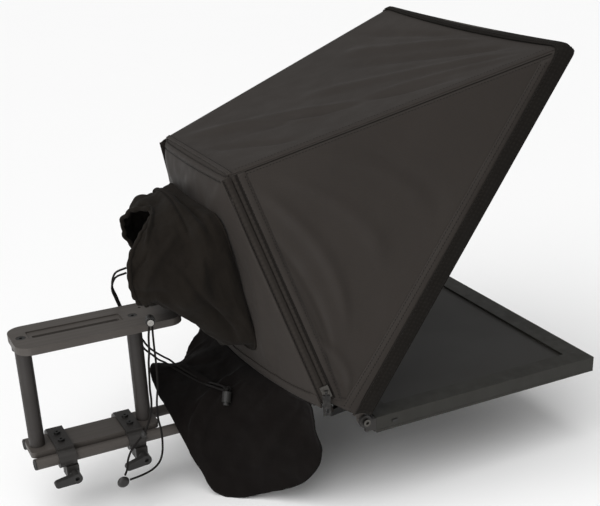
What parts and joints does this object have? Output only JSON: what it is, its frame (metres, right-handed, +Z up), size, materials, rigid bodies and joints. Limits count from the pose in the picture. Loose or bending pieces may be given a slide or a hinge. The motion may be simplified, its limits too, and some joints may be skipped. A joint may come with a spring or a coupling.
{
  "type": "teleprompter",
  "caption": "Teleprompter: sloping beam-splitter glass in a frame over a flat monitor, black fabric hood with camera sleeve and drape, on paired rods with a camera riser.",
  "frame": {"origin": "middle of the tripod plate's bottom face", "axes": "+Z up; -Y towards the person who reads; +Y towards the camera operator, along the rods; +X to the far side"},
  "size_m": [0.4426, 0.7582, 0.583],
  "materials": {
    "black_anodised": "satin black anodised",
    "cast_black": "matt black coated casting",
    "black_screw": "blackened steel",
    "lever_plastic": "moulded black plastic",
    "steel": "bright steel",
    "dark_pull": "black enamel",
    "housing": "black powder coat, slight sheen",
    "button_plastic": "black plastic",
    "screen": "anti-glare screen, switched off",
    "board": "green circuit board",
    "beamsplitter": "half-silvered clear glass",
    "nylon": "coated woven nylon, dark brown-black",
    "black_cloth": "black napped cloth",
    "cord": "black woven elastic cord"
  },
  "bodies": {
    "base": {"rod_near": "black_anodised", "rod_far": "black_anodised", "tripod_plate": "black_anodised", "tripod_clamp_block": "cast_black"},
    "tripod_lever": {"tripod_lever": "lever_plastic"},
    "riser": {"riser_clamp_rear": "cast_black", "riser_clamp_front": "cast_black", "riser_base_screw_rear_near": "black_screw", "riser_base_screw_rear_far": "black_screw", "riser_base_screw_front_near": "black_screw", "riser_base_screw_front_far": "black_screw", "riser_base_plate": "black_anodised", "riser_post_rear": "black_anodised", "riser_post_front": "black_anodised", "riser_top_plate": "black_anodised", "riser_top_screw_rear": "black_screw", "riser_top_screw_front": "black_screw"},
    "riser_lever_rear": {"riser_lever_rear": "lever_plastic"},
    "riser_lever_front": {"riser_lever_front": "lever_plastic"},
    "monitor_carriage": {"monitor_clamp_rear": "cast_black", "monitor_clamp_front": "cast_black", "monitor_mount_plate": "black_anodised", "monitor_back_cover": "housing", "monitor_bezel": "housing", "lcd_panel": "screen", "driver_board": "board", "hinge_bracket_near": "cast_black", "hinge_bracket_far": "cast_black", "hinge_bolt_near": "steel", "hinge_bolt_far": "steel", "drape": "black_cloth"},
    "monitor_lever_rear": {"monitor_lever_rear": "lever_plastic"},
    "monitor_lever_front": {"monitor_lever_front": "lever_plastic"},
    "power_button": {"power_button": "button_plastic"},
    "glass_hood": {"glass_frame_near": "black_anodised", "glass_frame_far": "black_anodised", "glass_frame_bottom": "black_anodised", "glass_frame_top": "black_anodised", "beamsplitter_glass": "beamsplitter", "hood_front_band": "black_cloth", "hood_side_near": "nylon", "hood_side_far": "nylon", "hood_top": "nylon", "hood_back": "nylon", "zip_tape_near": "black_cloth", "zip_tape_far": "black_cloth", "camera_sleeve": "black_cloth", "drawcord_long_a": "cord", "drawcord_long_b": "cord", "tie_cord_a": "cord", "tie_cord_b": "cord", "cord_lock_sleeve": "button_plastic", "cord_lock_drape": "button_plastic", "cord_bead": "button_plastic"},
    "zip_slider_near": {"zip_slider_near": "steel"},
    "zip_slider_far": {"zip_slider_far": "steel"},
    "zip_pull_near": {"zip_pull_near": "dark_pull"},
    "zip_pull_far": {"zip_pull_far": "dark_pull"},
    "sleeve_lock_button": {"cord_lock_sleeve_button": "steel"},
    "drape_lock_button": {"cord_lock_drape_button": "steel"}
  },
  "joints": [
    {"name": "tripod_lever_turn", "type": "hinge", "parent": "base", "child": "tripod_lever", "pos_m": [-0.055, 0, 0.025], "axis": [1, 0, 0], "range_deg": [0, 180]},
    {"name": "riser_slide", "type": "slide", "parent": "base", "child": "riser", "axis": [0, 1, 0], "range_m": [-0.004, 0.02]},
    {"name": "riser_lever_rear_turn", "type": "hinge", "parent": "riser", "child": "riser_lever_rear", "pos_m": [-0.055, 0.287, 0.006], "axis": [1, 0, 0], "range_deg": [0, 180]},
    {"name": "riser_lever_front_turn", "type": "hinge", "parent": "riser", "child": "riser_lever_front", "pos_m": [-0.055, 0.195, 0.006], "axis": [1, 0, 0], "range_deg": [0, 180]},
    {"name": "monitor_slide", "type": "slide", "parent": "base", "child": "monitor_carriage", "axis": [0, -1, 0], "range_m": [0, 0.06]},
    {"name": "monitor_lever_rear_turn", "type": "hinge", "parent": "monitor_carriage", "child": "monitor_lever_rear", "pos_m": [-0.055, -0.104, 0.006], "axis": [1, 0, 0], "range_deg": [0, 180]},
    {"name": "monitor_lever_front_turn", "type": "hinge", "parent": "monitor_carriage", "child": "monitor_lever_front", "pos_m": [-0.055, -0.194, 0.006], "axis": [1, 0, 0], "range_deg": [0, 180]},
    {"name": "power_press", "type": "slide", "parent": "monitor_carriage", "child": "power_button", "axis": [1, 0, 0], "range_m": [0, 0.001], "stiffness_N_per_m": 400},
    {"name": "glass_tilt", "type": "hinge", "parent": "monitor_carriage", "child": "glass_hood", "pos_m": [0, -0.05, 0.07], "axis": [1, 0, 0], "range_deg": [0, 54]},
    {"name": "zip_near_slide", "type": "slide", "parent": "glass_hood", "child": "zip_slider_near", "axis": [0.3169, 0.249, 0.9152], "range_m": [0, 0.27]},
    {"name": "zip_pull_near_swing", "type": "hinge", "parent": "zip_slider_near", "child": "zip_pull_near", "pos_m": [-0.20965, 0.00188, 0.12246], "axis": [0.3357, 0.942, 0], "range_deg": [0, 90]},
    {"name": "zip_far_slide", "type": "slide", "parent": "glass_hood", "child": "zip_slider_far", "axis": [-0.3169, 0.249, 0.9152], "range_m": [0, 0.27]},
    {"name": "zip_pull_far_swing", "type": "hinge", "parent": "zip_slider_far", "child": "zip_pull_far", "pos_m": [0.20965, 0.00188, 0.12246], "axis": [0.3357, -0.942, 0], "range_deg": [0, 90]},
    {"name": "sleeve_lock_press", "type": "slide", "parent": "glass_hood", "child": "sleeve_lock_button", "axis": [0.9656, -0.2414, -0.0966], "range_m": [0, 0.003], "stiffness_N_per_m": 500},
    {"name": "drape_lock_press", "type": "slide", "parent": "glass_hood", "child": "drape_lock_button", "axis": [0.4438, -0.3328, 0.8321], "range_m": [0, 0.003], "stiffness_N_per_m": 500}
  ]
}
